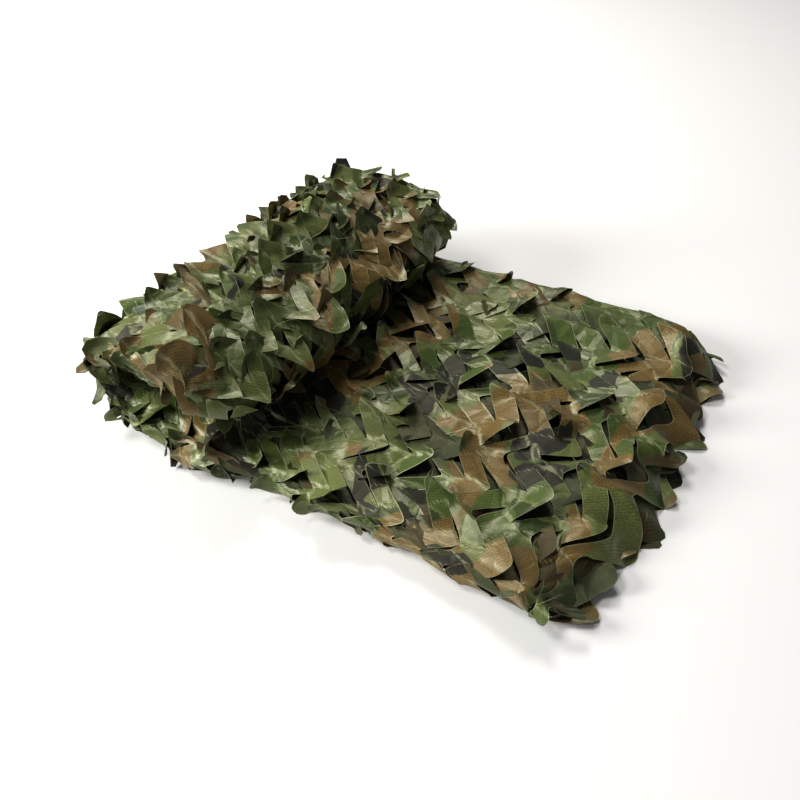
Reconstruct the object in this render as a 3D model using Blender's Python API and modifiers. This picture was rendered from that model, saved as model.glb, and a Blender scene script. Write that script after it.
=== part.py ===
# Camouflage net: one die-cut sheet of coated cloth, folded lengthwise into a strip of four layers,
# laid flat to the right and rolled over on itself at the left.  Metres, +Z up, floor at Z = 0.
import math
import random

import bmesh
import bpy

NET_NAME = "net"
CLOTH_THICKNESS = 0.0016
CLOTH_COLOUR = (0.105, 0.150, 0.060, 1.0)
CLOTH_ROUGHNESS = 0.55
# Added to the places in the tables below, so that the whole thing is centred on the origin.
CENTRE_X = 0.0083
CENTRE_Y = 0.0182

# The cloth across the strip, from the middle of the near fold: half that fold, a face layer,
# a far fold and an inner layer, above and below alike.
LAYERS = 4
NEAR_FOLD_HALF = 0.045
FACE_WIDTH = 0.470
FAR_FOLD = 0.028
INNER_WIDTH = 0.430
INNER_COLUMNS = 3
HIDDEN_COLUMN_STEP = 8

# The die cut: wavy lines run across the strip, and each is cut in bows with uncut bridges between.
# A bow is centred on a crest, and bows of neighbouring lines sit on opposite crests.
LINE_SPACING = 0.039
WAVE_PERIOD = 0.108
WAVE_REACH = 0.019
BOW_HALF_LENGTH = 0.040
BOW_SHOULDER = 0.014
GAP_WIDTH = 0.015
SHOULDER_SHARE = 0.75
LEAF_LIFT = 0.012
LIFT_SPREAD = 0.35
NOTCH_DROP = 0.003
LIFT_SEED = 11

# The loose right end: (place across the cloth, how far it stands past the strip's first station).
END_PROFILE = (
    (-0.980, 0.004),
    (-0.760, 0.012),
    (-0.540, -0.008),
    (-0.300, 0.006),
    (-0.100, 0.000),
    (0.000, -0.006),
    (0.120, -0.012),
    (0.250, -0.006),
    (0.400, -0.014),
    (0.520, -0.026),
    (0.740, 0.010),
    (0.980, 0.002),
)
END_FADE = 0.080

# The strip, followed along its outer face from the loose right end: along the floor, up and over
# the left turn, down the right side of the roll and back inside it.
# x and z place that face, stack is the height of the four layers, near and far are the strip's
# long edges along Y, and bulge is how far the near fold rounds out.  lean is the shift along X
# for each metre of Y, and sink is how much lower the far edge lies than the near one.
STRIP_COLUMNS = ("x", "z", "stack", "near", "far", "bulge", "lean", "sink")
STRIP_STATIONS = (
    (0.322, 0.000, 0.044, -0.254, 0.238, 0.020, 0.030, 0.000),
    (0.240, 0.000, 0.052, -0.268, 0.246, 0.026, 0.020, 0.000),
    (0.130, 0.000, 0.054, -0.262, 0.240, 0.028, 0.000, 0.000),
    (0.000, 0.000, 0.055, -0.256, 0.230, 0.028, 0.000, 0.000),
    (-0.120, 0.000, 0.060, -0.257, 0.226, 0.030, 0.000, 0.000),
    (-0.215, 0.000, 0.067, -0.258, 0.226, 0.032, 0.000, 0.000),
    (-0.284, 0.014, 0.056, -0.256, 0.224, 0.030, 0.000, 0.000),
    (-0.322, 0.056, 0.040, -0.252, 0.222, 0.024, 0.010, 0.003),
    (-0.322, 0.112, 0.040, -0.254, 0.222, 0.026, 0.040, 0.009),
    (-0.274, 0.162, 0.046, -0.260, 0.228, 0.032, 0.070, 0.016),
    (-0.206, 0.181, 0.052, -0.266, 0.232, 0.036, 0.090, 0.017),
    (-0.144, 0.169, 0.046, -0.264, 0.232, 0.034, 0.090, 0.014),
    (-0.105, 0.132, 0.034, -0.258, 0.230, 0.028, 0.080, 0.010),
    (-0.107, 0.097, 0.029, -0.252, 0.226, 0.024, 0.060, 0.008),
    (-0.146, 0.079, 0.027, -0.248, 0.222, 0.022, 0.050, 0.007),
    (-0.210, 0.079, 0.028, -0.246, 0.218, 0.020, 0.040, 0.006),
    (-0.268, 0.081, 0.026, -0.240, 0.212, 0.018, 0.030, 0.006),
)
# How far inside the near fold the two inner layers end.
INNER_EDGE_SETBACK = 0.035
STATION_STEPS = 16

# Distances along the strip between which cuts are opened, and where the face turns tightly.
TOP_CUTS = (0.020, 0.410)
FOLD_CUTS = (0.020, 1.010)
ROLL_CUTS = (0.650, 1.010)
TURNS = ((0.580, 0.740), (0.930, 1.100))
UNDERSIDE_END = 0.520


def catmull(before, first, second, after, along):
    # One coordinate of a smooth curve that passes through first and second.
    bend = 2.0 * before - 5.0 * first + 4.0 * second - after
    twist = 3.0 * first - before - 3.0 * second + after
    return first + 0.5 * along * ((second - before) + along * (bend + along * twist))


def extended(stations):
    # The stations with one more at each end, so that the curve covers every span.
    start = tuple(2.0 * a - b for a, b in zip(stations[0], stations[1]))
    end = tuple(2.0 * a - b for a, b in zip(stations[-1], stations[-2]))
    return (start, *stations, end)


def strip_samples():
    # Close samples of the strip: dictionaries of its columns, with the distance along its face.
    rows = extended(STRIP_STATIONS)
    samples = []
    for index in range(1, len(rows) - 2):
        for step in range(STATION_STEPS):
            along = step / STATION_STEPS
            columns = zip(*rows[index - 1:index + 3])
            values = [catmull(*column, along) for column in columns]
            samples.append(dict(zip(STRIP_COLUMNS, values)))
    samples.append(dict(zip(STRIP_COLUMNS, rows[-2])))
    samples[0]["distance"] = 0.0
    for last, sample in zip(samples, samples[1:]):
        step = math.hypot(sample["x"] - last["x"], sample["z"] - last["z"])
        sample["distance"] = last["distance"] + step
    return samples


SAMPLES = strip_samples()
STRIP_LENGTH = SAMPLES[-1]["distance"]
# How far either side of a point the strip's heading is taken over.
HEADING_STEP = 0.004


def strip_at(distance):
    # The strip's columns at a distance along it, read between the two nearest samples.
    low = 0
    high = len(SAMPLES) - 1
    while high - low > 1:
        middle = (low + high) // 2
        if SAMPLES[middle]["distance"] <= distance:
            low = middle
        else:
            high = middle
    first = SAMPLES[low]
    second = SAMPLES[high]
    share = (distance - first["distance"]) / (second["distance"] - first["distance"])
    return {name: first[name] + share * (second[name] - first[name]) for name in STRIP_COLUMNS}


def section_point(across, strip):
    # Place of the cloth in the strip's section: Y, height in the stack, and its outward direction.
    stack = strip["stack"]
    near = strip["near"]
    bulge = strip["bulge"]
    layer_step = stack / (LAYERS - 1)
    fold_radius = layer_step / 2.0
    side = 1.0 if across > 0.0 else -1.0
    reach = abs(across)
    far_centre = strip["far"] - fold_radius
    middle = stack / 2.0
    if reach <= NEAR_FOLD_HALF:
        turn = across / NEAR_FOLD_HALF * math.pi / 2.0
        y = near + bulge * (1.0 - math.cos(turn))
        return y, middle * (1.0 + math.sin(turn)), -math.cos(turn), math.sin(turn)
    reach -= NEAR_FOLD_HALF
    if reach <= FACE_WIDTH:
        y = near + bulge + reach / FACE_WIDTH * (far_centre - near - bulge)
        return y, middle * (1.0 + side), 0.0, side
    reach -= FACE_WIDTH
    if reach <= FAR_FOLD:
        turn = reach / FAR_FOLD * math.pi
        height = middle + side * (middle - fold_radius + fold_radius * math.cos(turn))
        return far_centre + fold_radius * math.sin(turn), height, math.sin(turn), side * math.cos(turn)
    share = (reach - FAR_FOLD) / INNER_WIDTH
    y = far_centre + share * (near + INNER_EDGE_SETBACK - far_centre)
    return y, middle + side * (middle - layer_step), 0.0, -side


def place(across, along, lift):
    # World position of a point of the cloth, lifted by lift off its outward face.
    strip = strip_at(along)
    before = strip_at(along - HEADING_STEP)
    after = strip_at(along + HEADING_STEP)
    run = math.hypot(after["x"] - before["x"], after["z"] - before["z"])
    inward_x = (after["z"] - before["z"]) / run
    inward_z = -(after["x"] - before["x"]) / run
    y, height, out_y, out_height = section_point(across, strip)
    y += out_y * lift
    height += out_height * lift
    far_share = (y - strip["near"]) / (strip["far"] - strip["near"])
    x = strip["x"] + inward_x * height + strip["lean"] * y
    z = strip["z"] + inward_z * height - strip["sink"] * far_share
    return x + CENTRE_X, y + CENTRE_Y, max(z, 0.0)


def end_past(across):
    # How far the cloth's loose end stands past the first station at this place across it.
    for (start, first), (end, second) in zip(END_PROFILE, END_PROFILE[1:]):
        if across <= end:
            share = max(0.0, (across - start) / (end - start))
            return first + share * (second - first)
    return END_PROFILE[-1][1]


def cut_wave(across):
    # How far a cut line is displaced along the strip by its wave; it is straight past the faces.
    if abs(across) > NEAR_FOLD_HALF + FACE_WIDTH:
        return 0.0
    return WAVE_REACH * math.cos(2.0 * math.pi * across / WAVE_PERIOD)


def wave_share(across, distance):
    # The hidden face inside the roll has straight rows, which the tight turns need.
    inside = (distance - TOP_CUTS[1]) / LINE_SPACING - 1.0
    beyond_fold = across / NEAR_FOLD_HALF - 1.0
    start = distance / LINE_SPACING
    return min(1.0, start, 1.0 - min(1.0, max(0.0, inside)) * min(1.0, max(0.0, beyond_fold)))


def column_places():
    # Places across the cloth: six to a wave on the faces, and a few on far folds and inner layers.
    face_end = NEAR_FOLD_HALF + FACE_WIDTH
    half = WAVE_PERIOD / 2.0
    pattern = (0.0, BOW_SHOULDER, BOW_HALF_LENGTH, half, half + BOW_SHOULDER, half + BOW_HALF_LENGTH)
    waves = math.ceil(face_end / WAVE_PERIOD)
    faces = []
    for wave in range(-waves, waves):
        faces.extend(wave * WAVE_PERIOD + offset for offset in pattern)
    edge_gap = BOW_SHOULDER / 2.0
    faces = [place_across for place_across in faces if abs(place_across) < face_end - edge_gap]
    hidden = [face_end, face_end + FAR_FOLD / 2.0, face_end + FAR_FOLD]
    for step in range(1, INNER_COLUMNS + 1):
        hidden.append(face_end + FAR_FOLD + INNER_WIDTH * step / INNER_COLUMNS)
    return [-reach for reach in reversed(hidden)] + faces + hidden


def in_any(value, spans):
    return any(start <= value <= end for start, end in spans)


def row_places():
    # Rows along the strip: (distance, cut line number), with None for a row between two lines.
    rows = []
    count = int(STRIP_LENGTH / LINE_SPACING)
    for line in range(count + 1):
        distance = line * LINE_SPACING
        rows.append((distance, line))
        between = distance + LINE_SPACING / 2.0
        if line < count and in_any(between, TURNS):
            rows.append((between, None))
    return rows


def is_cut(line, centre):
    # Whether the bow of this line, centred at this place across the cloth, is cut open.
    distance = line * LINE_SPACING
    if abs(centre) + BOW_HALF_LENGTH > NEAR_FOLD_HALF + FACE_WIDTH - BOW_SHOULDER:
        return False
    if abs(centre) < NEAR_FOLD_HALF:
        return in_any(distance, (FOLD_CUTS,))
    return in_any(distance, (TOP_CUTS if centre > 0.0 else ROLL_CUTS,))


def bow_centres(line):
    # Crests of one line that its bows are centred on, as multiples of half a wave.
    waves = math.ceil((NEAR_FOLD_HALF + FACE_WIDTH) / WAVE_PERIOD)
    offset = WAVE_PERIOD / 2.0 * (line % 2)
    centres = [wave * WAVE_PERIOD + offset for wave in range(-waves, waves + 1)]
    return [centre for centre in centres if is_cut(line, centre)]


def cut_sheet(columns, rows):
    # The flat sheet as a grid whose bows are slit, with each vertex's column and row kept on it,
    # and on each face the row that it starts at.
    sheet = bmesh.new()
    bmesh.ops.create_grid(sheet, x_segments=len(columns) - 1, y_segments=len(rows) - 1, size=1.0)
    column_of = sheet.verts.layers.int.new("column")
    row_of = sheet.verts.layers.int.new("row")
    band_of = sheet.faces.layers.int.new("band")
    for vert in sheet.verts:
        vert[column_of] = round((vert.co.x + 1.0) / 2.0 * (len(columns) - 1))
        vert[row_of] = round((vert.co.y + 1.0) / 2.0 * (len(rows) - 1))
    for face in sheet.faces:
        face[band_of] = min(vert[row_of] for vert in face.verts)
    slits = []
    for edge in sheet.edges:
        first, second = edge.verts
        if first[row_of] == second[row_of]:
            line = rows[first[row_of]][1]
            middle = (columns[first[column_of]] + columns[second[column_of]]) / 2.0
            if line is not None and on_bow(line, middle):
                slits.append(edge)
    bmesh.ops.split_edges(sheet, edges=slits)
    return sheet, column_of, row_of, band_of


def on_bow(line, across):
    return any(abs(across - centre) < BOW_HALF_LENGTH for centre in bow_centres(line))


def bow_opening(line, across):
    # Share of the full opening here, and +1 where the leaf corner points up the strip, else -1.
    for centre in bow_centres(line):
        away = abs(across - centre)
        if away < BOW_HALF_LENGTH - BOW_SHOULDER / 2.0:
            share = 1.0 if away < BOW_SHOULDER / 2.0 else SHOULDER_SHARE
            return share, 1.0 if cut_wave(centre) > 0.0 else -1.0
    return 0.0, 0.0


def fold_sheet(sheet, layers, columns, rows):
    # Moves each vertex from the flat grid to its place in the folded and rolled strip.
    column_of, row_of, band_of = layers
    chance = random.Random(LIFT_SEED)
    for vert in sheet.verts:
        across = columns[vert[column_of]]
        distance, line = rows[vert[row_of]]
        along = distance + cut_wave(across) * wave_share(across, distance)
        along -= end_past(across) * max(0.0, 1.0 - distance / END_FADE)
        lift = 0.0
        if line is not None:
            share, points = bow_opening(line, across)
            if share > 0.0:
                side = 1.0 if min(face[band_of] for face in vert.link_faces) == vert[row_of] else -1.0
                along += side * share * GAP_WIDTH / 2.0
                is_corner = side != points
                height = LEAF_LIFT * chance.uniform(1.0 - LIFT_SPREAD, 1.0 + LIFT_SPREAD)
                lift = share * (height if is_corner else -NOTCH_DROP)
        vert.co = place(across, min(along, STRIP_LENGTH), lift)


def coarsen_hidden(sheet, layers, columns, rows):
    # Hidden faces keep one column in HIDDEN_COLUMN_STEP: the underside along the floor, and the
    # side of the strip that ends up inside the roll.
    column_of, row_of = layers
    spare = []
    for edge in sheet.edges:
        first, second = edge.verts
        if first[column_of] != second[column_of]:
            continue
        across = columns[first[column_of]]
        if not NEAR_FOLD_HALF < abs(across) < NEAR_FOLD_HALF + FACE_WIDTH:
            continue
        if first[column_of] % HIDDEN_COLUMN_STEP == 0:
            continue
        start = min(rows[first[row_of]][0], rows[second[row_of]][0])
        end = max(rows[first[row_of]][0], rows[second[row_of]][0])
        if across < 0.0 and end < UNDERSIDE_END or across > 0.0 and start > TOP_CUTS[1] + LINE_SPACING:
            spare.append(edge)
    bmesh.ops.dissolve_edges(sheet, edges=spare, use_verts=True)


def cloth_material():
    # Coated woodland cloth: one green stands here for its printed greens and browns.
    material = bpy.data.materials.new("camo_cloth")
    material.use_nodes = True
    shader = material.node_tree.nodes["Principled BSDF"]
    shader.inputs["Base Color"].default_value = CLOTH_COLOUR
    shader.inputs["Roughness"].default_value = CLOTH_ROUGHNESS
    shader.inputs["Metallic"].default_value = 0.0
    return material


def build_net(collection):
    columns = column_places()
    rows = row_places()
    sheet, column_of, row_of, band_of = cut_sheet(columns, rows)
    fold_sheet(sheet, (column_of, row_of, band_of), columns, rows)
    coarsen_hidden(sheet, (column_of, row_of), columns, rows)
    bmesh.ops.triangulate(sheet, faces=sheet.faces)
    mesh = bpy.data.meshes.new(NET_NAME)
    sheet.to_mesh(mesh)
    sheet.free()
    mesh.materials.append(cloth_material())
    net = bpy.data.objects.new(NET_NAME, mesh)
    collection.objects.link(net)
    thickness = net.modifiers.new("Cloth thickness", "SOLIDIFY")
    thickness.thickness = CLOTH_THICKNESS
    thickness.offset = -1.0
    return net


def main():
    for item in list(bpy.data.objects):
        bpy.data.objects.remove(item, do_unlink=True)
    collection = bpy.data.collections.new("camouflage_net")
    bpy.context.scene.collection.children.link(collection)
    build_net(collection)


main()
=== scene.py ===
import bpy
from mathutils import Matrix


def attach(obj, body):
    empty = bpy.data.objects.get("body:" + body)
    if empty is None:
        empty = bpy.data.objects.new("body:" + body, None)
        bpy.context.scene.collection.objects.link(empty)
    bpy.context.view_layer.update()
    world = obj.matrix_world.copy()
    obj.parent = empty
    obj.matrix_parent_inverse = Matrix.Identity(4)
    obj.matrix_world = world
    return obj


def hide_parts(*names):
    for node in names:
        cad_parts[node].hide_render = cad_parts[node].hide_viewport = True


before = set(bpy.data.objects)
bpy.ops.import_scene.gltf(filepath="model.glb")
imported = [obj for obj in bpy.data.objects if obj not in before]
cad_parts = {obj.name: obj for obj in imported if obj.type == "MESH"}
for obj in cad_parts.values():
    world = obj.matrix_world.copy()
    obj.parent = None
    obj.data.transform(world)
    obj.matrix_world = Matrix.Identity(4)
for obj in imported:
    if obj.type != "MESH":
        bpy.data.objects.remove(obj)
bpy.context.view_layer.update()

import math

import bpy
import numpy as np
from mathutils import Vector

# The view: degrees round and above its aim, metres from it, and millimetres of lens.
view = {
    "aim": (0.0119, -0.0541, 0.0500), "azimuth": 28.38, "elevation": 43.15, "distance": 1.0945,
    "lens": 40.5, "sensor": 36.0,
}


def lookAt(place, target):
    return (Vector(target) - Vector(place)).to_track_quat("-Z", "Y").to_euler()


def addCamera():
    turn = math.radians(view["azimuth"])
    rise = math.radians(view["elevation"])
    back = Vector((math.sin(turn) * math.cos(rise), -math.cos(turn) * math.cos(rise), math.sin(rise)))
    lens = bpy.data.cameras.new("camera")
    lens.lens = view["lens"]
    lens.sensor_width = view["sensor"]
    camera = bpy.data.objects.new("camera", lens)
    camera.location = Vector(view["aim"]) + back * view["distance"]
    camera.rotation_euler = lookAt(camera.location, view["aim"])
    bpy.context.scene.collection.objects.link(camera)
    bpy.context.scene.camera = camera


addCamera()
print("camera placed", flush=True)

# The folded strip's path, followed along its outer face from the loose right end.
strip = {
    "columns": ("x", "z", "stack", "near", "far", "bulge", "lean", "sink"),
    "stations": (
        (0.322, 0.000, 0.044, -0.254, 0.238, 0.020, 0.030, 0.000),
        (0.240, 0.000, 0.052, -0.268, 0.246, 0.026, 0.020, 0.000),
        (0.130, 0.000, 0.054, -0.262, 0.240, 0.028, 0.000, 0.000),
        (0.000, 0.000, 0.055, -0.256, 0.230, 0.028, 0.000, 0.000),
        (-0.120, 0.000, 0.060, -0.257, 0.226, 0.030, 0.000, 0.000),
        (-0.215, 0.000, 0.067, -0.258, 0.226, 0.032, 0.000, 0.000),
        (-0.284, 0.014, 0.056, -0.256, 0.224, 0.030, 0.000, 0.000),
        (-0.322, 0.056, 0.040, -0.252, 0.222, 0.024, 0.010, 0.003),
        (-0.322, 0.112, 0.040, -0.254, 0.222, 0.026, 0.040, 0.009),
        (-0.274, 0.162, 0.046, -0.260, 0.228, 0.032, 0.070, 0.016),
        (-0.206, 0.181, 0.052, -0.266, 0.232, 0.036, 0.090, 0.017),
        (-0.144, 0.169, 0.046, -0.264, 0.232, 0.034, 0.090, 0.014),
        (-0.105, 0.132, 0.034, -0.258, 0.230, 0.028, 0.080, 0.010),
        (-0.107, 0.097, 0.029, -0.252, 0.226, 0.024, 0.060, 0.008),
        (-0.146, 0.079, 0.027, -0.248, 0.222, 0.022, 0.050, 0.007),
        (-0.210, 0.079, 0.028, -0.246, 0.218, 0.020, 0.040, 0.006),
        (-0.268, 0.081, 0.026, -0.240, 0.212, 0.018, 0.030, 0.006),
    ),
    "centreX": 0.0083, "centreY": 0.0182, "layers": 4, "nearFoldHalf": 0.045, "faceWidth": 0.470,
    "farFold": 0.028, "innerWidth": 0.430, "innerSetback": 0.035, "stepsEach": 16,
    "headingStep": 0.004, "beyondStart": 0.06, "beyondEnd": 0.03, "lowest": 0.0004,
}
tiny = 1e-9


def stripSamples():
    # Close samples of every column along the strip, and the distance along its face.
    rows = np.array(strip["stations"])
    rows = np.vstack([2 * rows[0] - rows[1], rows, 2 * rows[-1] - rows[-2]])
    steps = np.arange(strip["stepsEach"]) / strip["stepsEach"]
    samples = []
    for before, first, second, after in zip(rows[:-3], rows[1:-2], rows[2:-1], rows[3:]):
        bend = 2 * before - 5 * first + 4 * second - after
        twist = 3 * first - before - 3 * second + after
        for step in steps:
            samples.append(first + 0.5 * step * ((second - before) + step * (bend + step * twist)))
    samples.append(rows[-2])
    samples = np.array(samples)
    runs = np.hypot(*np.diff(samples[:, :2], axis=0).T)
    return samples, np.concatenate([[0.0], np.cumsum(runs)])


samples, distances = stripSamples()
stripLength = float(distances[-1])


def column(name, along):
    return np.interp(along, distances, samples[:, strip["columns"].index(name)])


def heading(along):
    # Unit vector in X and Z from the strip's outer face into the stack.
    step = strip["headingStep"]
    along = np.clip(along, step, stripLength - step)
    runX, runZ = [column(name, along + step) - column(name, along - step) for name in ("x", "z")]
    run = np.hypot(runX, runZ) + tiny
    return runZ / run, -runX / run


def choose(isNew, new, old):
    return [np.where(isNew, second, first) for first, second in zip(old, new)]


def place(across, along, lift):
    # World positions of the cloth's points, lifted off its outward face.
    along = np.clip(along, -strip["beyondStart"], stripLength + strip["beyondEnd"])
    stack, near, far, bulge = [column(name, along) for name in ("stack", "near", "far", "bulge")]
    radius = stack / (strip["layers"] - 1) / 2.0
    farCentre = far - radius
    side = np.where(across > 0.0, 1.0, -1.0)
    reach = np.abs(across) - strip["nearFoldHalf"]

    # In the strip's section: y, height and the direction outwards, part by part.
    turn = np.clip(across / strip["nearFoldHalf"], -1.0, 1.0) * math.pi / 2.0
    out = -np.cos(turn), np.sin(turn)
    form = (near + bulge * (1.0 - np.cos(turn)), stack / 2.0 * (1.0 + np.sin(turn)), *out)
    y = near + bulge + reach / strip["faceWidth"] * (farCentre - near - bulge)
    form = choose(reach > 0.0, (y, stack / 2.0 * (1.0 + side), 0.0, side), form)
    reach = reach - strip["faceWidth"]
    bend = np.clip(reach / strip["farFold"], 0.0, 1.0) * math.pi
    y = farCentre + radius * np.sin(bend)
    height = stack / 2.0 + side * (stack / 2.0 - radius + radius * np.cos(bend))
    form = choose(reach > 0.0, (y, height, np.sin(bend), side * np.cos(bend)), form)
    y, height, outY, outHeight = form
    reach = reach - strip["farFold"]
    share = reach / strip["innerWidth"]
    y = np.where(reach > 0.0, farCentre + share * (near + strip["innerSetback"] - farCentre), y)

    y = y + outY * lift
    height = height + outHeight * lift
    inwardX, inwardZ = heading(along)
    farShare = (y - near) / (far - near)
    past = np.minimum(along, 0.0) + np.maximum(along - stripLength, 0.0)
    x = column("x", along) + inwardX * height + column("lean", along) * y
    x = x - past * inwardZ
    z = column("z", along) + inwardZ * height - column("sink", along) * farShare + past * inwardX
    return np.stack([x + strip["centreX"], y + strip["centreY"], np.maximum(z, strip["lowest"])], axis=-1)


# The cut cloth.  across is measured from the middle of the near fold, and along from the loose end.
# A wavy line is cut in bows, from before its crests to past them.  Pairs are (along, value).
cut = {
    "period": 0.112,
    "reach": ((0.0, 0.0225), (0.20, 0.0240), (0.36, 0.0300), (1.20, 0.0320)),
    "sharpness": ((0.0, 0.880), (0.20, 0.920), (0.40, 0.990), (1.20, 0.994)),
    "scale": ((0.0, 0.96), (0.16, 0.90), (0.34, 0.77), (0.50, 0.73), (1.20, 0.73)),
    "stretch": ((0.0, 1.10), (0.20, 1.08), (0.36, 1.00), (0.52, 0.95), (1.20, 0.94)),
    "shrink": ((0.0, 0.945), (0.25, 0.922), (0.50, 0.895), (1.20, 0.895)),
    "spacing": 0.0355, "endMargin": 0.01, "sideMargin": 0.02, "halfAcross": 0.5436,
    "columnStep": 0.0034, "rows": 6, "waves": 9, "evenBow": (-0.050, 0.032),
    "oddBow": (-0.048, 0.046), "bowJitter": 0.003, "crestShare": 0.55, "slopeStep": 0.0005,
    "edgeReach": 0.02, "seed": 5,
}

# Places where the cloth is taut (share under 0) or ruffled (over 0).
calm = {
    "columns": ("across", "along", "wide", "long", "share"),
    "rows": (
        (-0.110, 0.900, 0.085, 0.075, -0.75),
        (-0.330, 0.830, 0.070, 0.050, -0.45),
        (0.160, 0.130, 0.070, 0.060, -0.20),
        (0.330, 0.300, 0.060, 0.050, -0.30),
        (-0.420, 0.980, 0.080, 0.080, -0.30),
        (0.420, 0.100, 0.060, 0.070, -0.30),
        (-0.400, 0.790, 0.200, 0.080, 0.65),
        (-0.180, 0.770, 0.140, 0.060, 0.55),
    ),
}

# How unevenly the cloth lies.  A noise is (metres of one wave, number of waves, size).
uneven = {
    "shiftAcross": (0.13, 10, 0.005), "shiftAlong": (0.13, 10, 0.006), "endFade": 0.06,
    "sideFade": 0.05, "under": -0.010,
    "hollows": ((0.07, 14, 0.0035), (0.16, 8, 0.0025)),
    "lively": (0.15, 8, 0.30), "livelyRange": (0.2, 1.7), "waveRange": (0.7, 1.5),
}

# How leaf corners and notches are pushed, more or less so in places.
leaves = {
    "corner": (0.3, 1.5), "turnedShare": 0.10, "turned": -0.5, "notch": -0.6, "notchSway": 0.3,
    "onFlat": 0.35, "onRight": 0.45, "nearFold": 0.5, "nearFoldAtEnd": 0.2, "far": 0.6,
    "farOnFlat": 0.35, "farAtEnd": 0.4, "underEdge": 0.8, "firstLift": 0.006, "roughness": 0.0003,
}

# How leaves crease, and how some tips fold over.
folds = {
    "endJitter": 0.006, "creased": 0.65, "creasedRise": 4.0, "crestJitter": 0.002, "lean": 0.012,
    "keel": (-0.8, 1.8), "keelHalfWidth": 0.020, "tipShare": 0.60, "smoothTipShare": 0.2,
    "tipDepth": (0.011, 0.018), "tipHalfWidth": 0.035, "tipTilt": 0.35, "tipPush": (-0.8, 3.2),
    "tipPushParts": (0.30, 0.70, 0.5),
}

# How the slit cloth is brought to rest.
relaxing = {
    "steps": 260, "quickSteps": 60, "drift": 0.92, "push": 0.00005, "leastPush": 0.3,
    "pushedShare": 0.7, "weight": 0.00001, "sway": 0.5, "edges": 1.0, "diagonals": 0.6,
    "bending": 0.3, "stiff": 0.38, "lastSteps": 16, "lastStiff": 0.7, "seam": 0.25, "hold": 0.03,
}

# Where a change starts and where it is whole.
fades = {
    # Read across the cloth.
    "topFace": (0.030, 0.050), "bottomFace": (-0.030, -0.050), "underside": (0.0, -0.045),
    "underFold": (0.03, -0.01), "underFace": (-0.12, -0.05), "drooping": (0.00, 0.06),
    "nearFold": (0.11, 0.0), "farEdge": (0.38, 0.45), "farPart": (0.43, 0.49),
    "farLayers": (0.45, 0.50), "beforeFarFold": (-0.524, -0.512), "farFold": (0.512, 0.530),
    # Read along it.
    "fluttering": (0.07, 0.0), "looseCorner": (0.12, 0.04), "nearLooseEnd": (0.16, 0.06),
    "onRight": (0.32, 0.10), "crumpledTips": (0.12, 0.36), "farOnFlat": (0.5, 0.4),
    "farEdgeOnFlat": (0.52, 0.42), "onFlat": (0.55, 0.45), "turnStart": (0.38, 0.46),
    "intoRoll": (0.40, 0.56), "insideRoll": (0.46, 0.52), "pastTurn": (0.50, 0.60),
    "upTheTurn": (0.58, 0.66), "ontoRoll": (0.60, 0.70), "turnEnd": (0.68, 0.62),
    "lowOnRoll": (0.68, 0.60), "leftOfRoll": (0.62, 0.74), "rollStart": (0.74, 0.84),
    "rollEnd": (1.02, 0.95), "innerEnd": (0.985, 1.05), "innermost": (1.02, 1.08),
}


def rowsOf(table):
    # A table's rows, each as a dictionary by its columns.
    return [dict(zip(table["columns"], row)) for row in table["rows"]]


def smoothStep(low, high, value):
    share = np.clip((value - low) / (high - low), 0.0, 1.0)
    return share * share * (3.0 - 2.0 * share)


def fade(name, value):
    return smoothStep(*fades[name], value)


def bumps(table, across, along):
    # The sum of a table's round bumps.
    total = np.zeros(np.shape(across))
    for middle, station, wide, long, size in table["rows"]:
        away = ((across - middle) / wide) ** 2 + ((along - station) / long) ** 2
        total += size * np.exp(-away)
    return total


def cutWave(across, reach, sharpness):
    crest = np.cos(2.0 * math.pi * across / cut["period"])
    return reach * np.arcsin(sharpness * crest) / np.arcsin(sharpness)


def cutSlope(across, reach, sharpness):
    step = cut["slopeStep"]
    rise = cutWave(across + step, reach, sharpness) - cutWave(across - step, reach, sharpness)
    return float(rise) / (2.0 * step)


def cutAt(name, along):
    return np.interp(along, *np.array(cut[name]).T)


def smoothNoise(chance, across, along, scale, waves):
    # A sum of sine waves in random directions, about 1 in size.
    total = np.zeros(across.shape)
    for _ in range(waves):
        angle = chance.uniform(0.0, 2.0 * math.pi)
        pitch = 2.0 * math.pi / (scale * chance.uniform(*uneven["waveRange"]))
        phase = chance.uniform(0.0, 2.0 * math.pi)
        total += np.sin(pitch * (across * math.cos(angle) + along * math.sin(angle)) + phase)
    return total / math.sqrt(waves / 2.0)


def pull(first, second, rest, amount):
    # Moves both ends of each pair towards their rest distance.
    gap = second - first
    length = np.sqrt(np.einsum("...k,...k", gap, gap)) + tiny
    gap *= (0.5 * amount * (1.0 - rest / length))[..., None]
    first += gap
    second -= gap


def chains(count, span):
    # Slices that pair places a span apart, with no place in two pairs of a set.
    sets = []
    step = 2 * span
    for offset in range(step):
        starts = np.arange(offset, count - span, step)
        if len(starts):
            end = starts[-1] + 1
            sets.append((slice(starts[0], end, step), slice(starts[0] + span, end + span, step)))
    return sets


def cutLines():
    # The cut lines' places on the flat cloth and on the strip, and the cut's tables there.
    lineFlat = [0.0]
    lineAt = [0.0]
    while lineAt[-1] < stripLength - cut["endMargin"]:
        width = cut["spacing"] * cutAt("scale", lineAt[-1])
        lineFlat.append(lineFlat[-1] + width)
        lineAt.append(lineAt[-1] + width * cutAt("stretch", lineAt[-1]))
    lineAt = np.array(lineAt) * (stripLength / lineAt[-1])
    lines = {name: cutAt(name, lineAt) for name in ("shrink", "scale", "reach", "sharpness")}
    return {"flat": np.array(lineFlat), "at": lineAt, **lines}


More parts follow.
